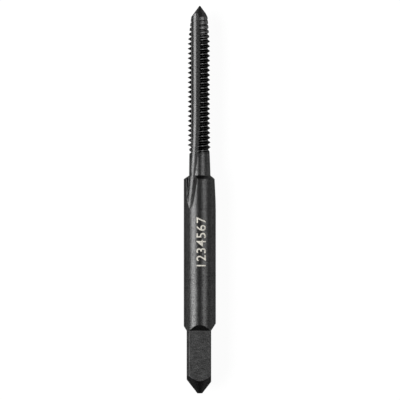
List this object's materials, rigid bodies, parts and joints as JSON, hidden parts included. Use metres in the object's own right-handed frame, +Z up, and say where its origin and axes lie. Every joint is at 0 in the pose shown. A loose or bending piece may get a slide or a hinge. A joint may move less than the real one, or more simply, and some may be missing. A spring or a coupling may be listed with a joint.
{
  "type": "thread tap",
  "caption": "Straight-shank hand tap with open flutes, a ground right-hand thread with a chamfered lead, a reduced neck, male centres and a driving square.",
  "frame": {"origin": "on the surface that the shank rests on, below the middle of the overall length", "axes": "+X from the driving square to the point, along the tool's axis; +Z up, away from the surface; +Y to the left of someone looking along +X"},
  "size_m": [0.0482, 0.004, 0.004],
  "materials": {
    "tool_steel": "ground tool steel with a black oxide coat, satin"
  },
  "bodies": {
    "root": {"tap": "tool_steel"}
  },
  "joints": []
}
